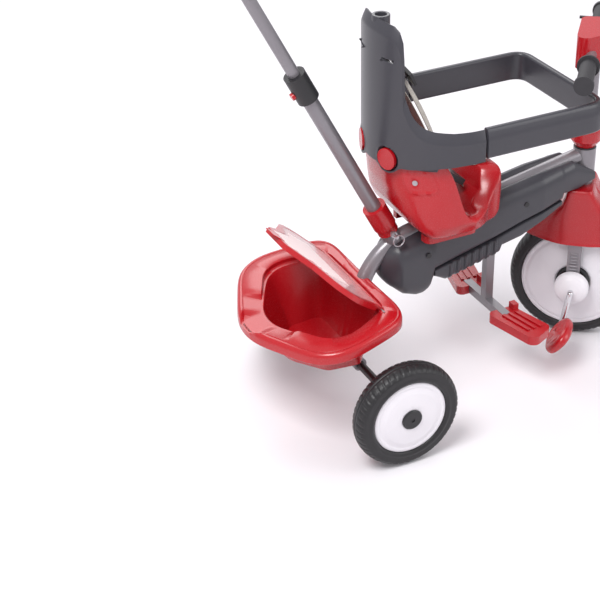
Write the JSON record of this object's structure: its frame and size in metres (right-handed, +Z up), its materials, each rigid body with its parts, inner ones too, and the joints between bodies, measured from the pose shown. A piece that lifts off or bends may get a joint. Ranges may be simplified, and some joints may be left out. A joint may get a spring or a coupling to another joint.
{
  "type": "children's tricycle",
  "caption": "Children's push tricycle with steered front wheel and pedals, bucket seat with harness and safety bar, folding footrest, lidded rear storage bin and push handle.",
  "frame": {"origin": "centre of the bounding box in plan, at the ground", "axes": "+X forward, +Y to the rider's left, +Z up"},
  "size_m": [0.9356, 0.522, 1.002],
  "materials": {
    "frame_grey": "satin silver-grey paint",
    "bare_steel": "dull bare steel",
    "black_plastic": "moulded, satin",
    "dark_grey_plastic": "moulded, satin",
    "red_plastic": "moulded, glossy",
    "webbing": "woven",
    "pad_fabric": "soft",
    "window_plastic": "clear moulded, faintly pink",
    "label_film": "printed film, plain",
    "grip_rubber": "soft matt",
    "tyre_plastic": "blown plastic tyre, matt",
    "white_plastic": "moulded, glossy",
    "bush_nylon": "natural nylon",
    "chromed_rod": "bright chrome"
  },
  "bodies": {
    "frame": {"main_frame": "frame_grey", "rear_axle": "bare_steel", "axle_spacers": "black_plastic", "body_cover_upper": "dark_grey_plastic", "body_cover_lower": "dark_grey_plastic", "cover_screws": "black_plastic", "footrest_pin": "bare_steel", "seat_shell": "red_plastic", "seat_base": "red_plastic", "seat_screws": "bare_steel", "backrest": "dark_grey_plastic", "harness_straps": "webbing", "harness_buckle": "black_plastic", "pommel_pad": "pad_fabric", "storage_bin": "red_plastic", "lid_hinge_pins": "bare_steel", "handle_collar": "red_plastic", "handle_lower_tube": "frame_grey", "handle_clamp": "black_plastic", "head_bush_lower": "black_plastic", "head_bush_upper": "black_plastic"},
    "footrest": {"footrest_frame": "frame_grey", "footrest_platform_left": "red_plastic", "footrest_platform_right": "red_plastic"},
    "rear_wheel_left": {"rear_tyre_left": "tyre_plastic", "rear_wheel_disc_left": "white_plastic", "rear_bush_left": "bush_nylon", "hub_cap_left": "black_plastic"},
    "rear_wheel_right": {"rear_tyre_right": "tyre_plastic", "rear_wheel_disc_right": "white_plastic", "rear_bush_right": "bush_nylon", "hub_cap_right": "black_plastic"},
    "steering": {"fork": "frame_grey", "fork_hub_caps": "white_plastic", "front_fender": "red_plastic", "handlebar_cup": "red_plastic", "handlebar": "frame_grey", "handlebar_shroud": "red_plastic", "grip_left": "grip_rubber", "grip_right": "grip_rubber", "bell_base": "red_plastic"},
    "front_wheel": {"front_tyre": "tyre_plastic", "front_wheel_disc": "white_plastic", "clutch_rings": "black_plastic"},
    "crank_rod": {"crank": "chromed_rod"},
    "pedal_left": {"pedal_left": "red_plastic"},
    "pedal_right": {"pedal_right": "red_plastic"},
    "bell_lever": {"bell_lever": "black_plastic"},
    "lid": {"lid_frame": "red_plastic", "lid_window": "window_plastic", "lid_label": "label_film"},
    "safety_bar": {"safety_bar": "dark_grey_plastic"},
    "release_button_left": {"release_button_left": "red_plastic"},
    "release_button_right": {"release_button_right": "red_plastic"},
    "handle_upper": {"handle_upper_tube": "frame_grey", "handle_grip": "grip_rubber"},
    "height_button": {"height_button": "red_plastic"},
    "locking_pin": {"locking_pin": "bare_steel", "pin_ring": "bare_steel"}
  },
  "joints": [
    {"name": "footrest_fold", "type": "hinge", "parent": "frame", "child": "footrest", "pos_m": [0.1165, 0, 0.25], "axis": [0, 1, 0], "range_deg": [0, 68]},
    {"name": "rear_wheel_left_spin", "type": "hinge", "parent": "frame", "child": "rear_wheel_left", "pos_m": [-0.1945, 0.233, 0.102], "axis": [0, 1, 0], "continuous": true},
    {"name": "rear_wheel_right_spin", "type": "hinge", "parent": "frame", "child": "rear_wheel_right", "pos_m": [-0.1945, -0.233, 0.102], "axis": [0, 1, 0], "continuous": true},
    {"name": "steering_turn", "type": "hinge", "parent": "frame", "child": "steering", "pos_m": [0.3225, 0, 0.38], "axis": [0, 0, 1], "range_deg": [-4, 84]},
    {"name": "front_wheel_spin", "type": "hinge", "parent": "steering", "child": "front_wheel", "pos_m": [0.3225, 0, 0.128], "axis": [0.6428, 0.766, 0], "continuous": true},
    {"name": "crank_turn", "type": "hinge", "parent": "steering", "child": "crank_rod", "pos_m": [0.3225, 0, 0.128], "axis": [0.6428, 0.766, 0], "range_deg": [-200, 20]},
    {"name": "pedal_left_spin", "type": "hinge", "parent": "crank_rod", "child": "pedal_left", "pos_m": [0.42369, 0.10438, 0.18709], "axis": [0.6428, 0.766, 0], "continuous": true},
    {"name": "pedal_right_spin", "type": "hinge", "parent": "crank_rod", "child": "pedal_right", "pos_m": [0.22131, -0.10438, 0.06891], "axis": [0.6428, 0.766, 0], "continuous": true},
    {"name": "bell_lever_press", "type": "hinge", "parent": "steering", "child": "bell_lever", "pos_m": [0.35959, 0.06287, 0.641], "axis": [0, 0, 1], "range_deg": [0, 25], "stiffness_Nm_per_rad": 0.02},
    {"name": "lid_hinge", "type": "hinge", "parent": "frame", "child": "lid", "pos_m": [-0.18218, 0, 0.25093], "axis": [0, 1, 0], "range_deg": [-50, 30]},
    {"name": "safety_bar_release", "type": "slide", "parent": "frame", "child": "safety_bar", "axis": [1, 0, 0], "range_m": [0, 0.018]},
    {"name": "release_left_press", "type": "slide", "parent": "frame", "child": "release_button_left", "axis": [0.9468, -0.3219, 0], "range_m": [0, 0.003], "stiffness_N_per_m": 400},
    {"name": "release_right_press", "type": "slide", "parent": "frame", "child": "release_button_right", "axis": [0.9468, 0.3219, 0], "range_m": [0, 0.003], "stiffness_N_per_m": 400},
    {"name": "handle_height", "type": "slide", "parent": "frame", "child": "handle_upper", "axis": [-0.4695, 0, 0.8829], "range_m": [-0.15, 0]},
    {"name": "height_button_press", "type": "slide", "parent": "frame", "child": "height_button", "axis": [0.8829, 0, 0.4695], "range_m": [0, 0.003], "stiffness_N_per_m": 400},
    {"name": "locking_pin_pull", "type": "slide", "parent": "frame", "child": "locking_pin", "axis": [0, -1, 0], "range_m": [0, 0.05]}
  ]
}
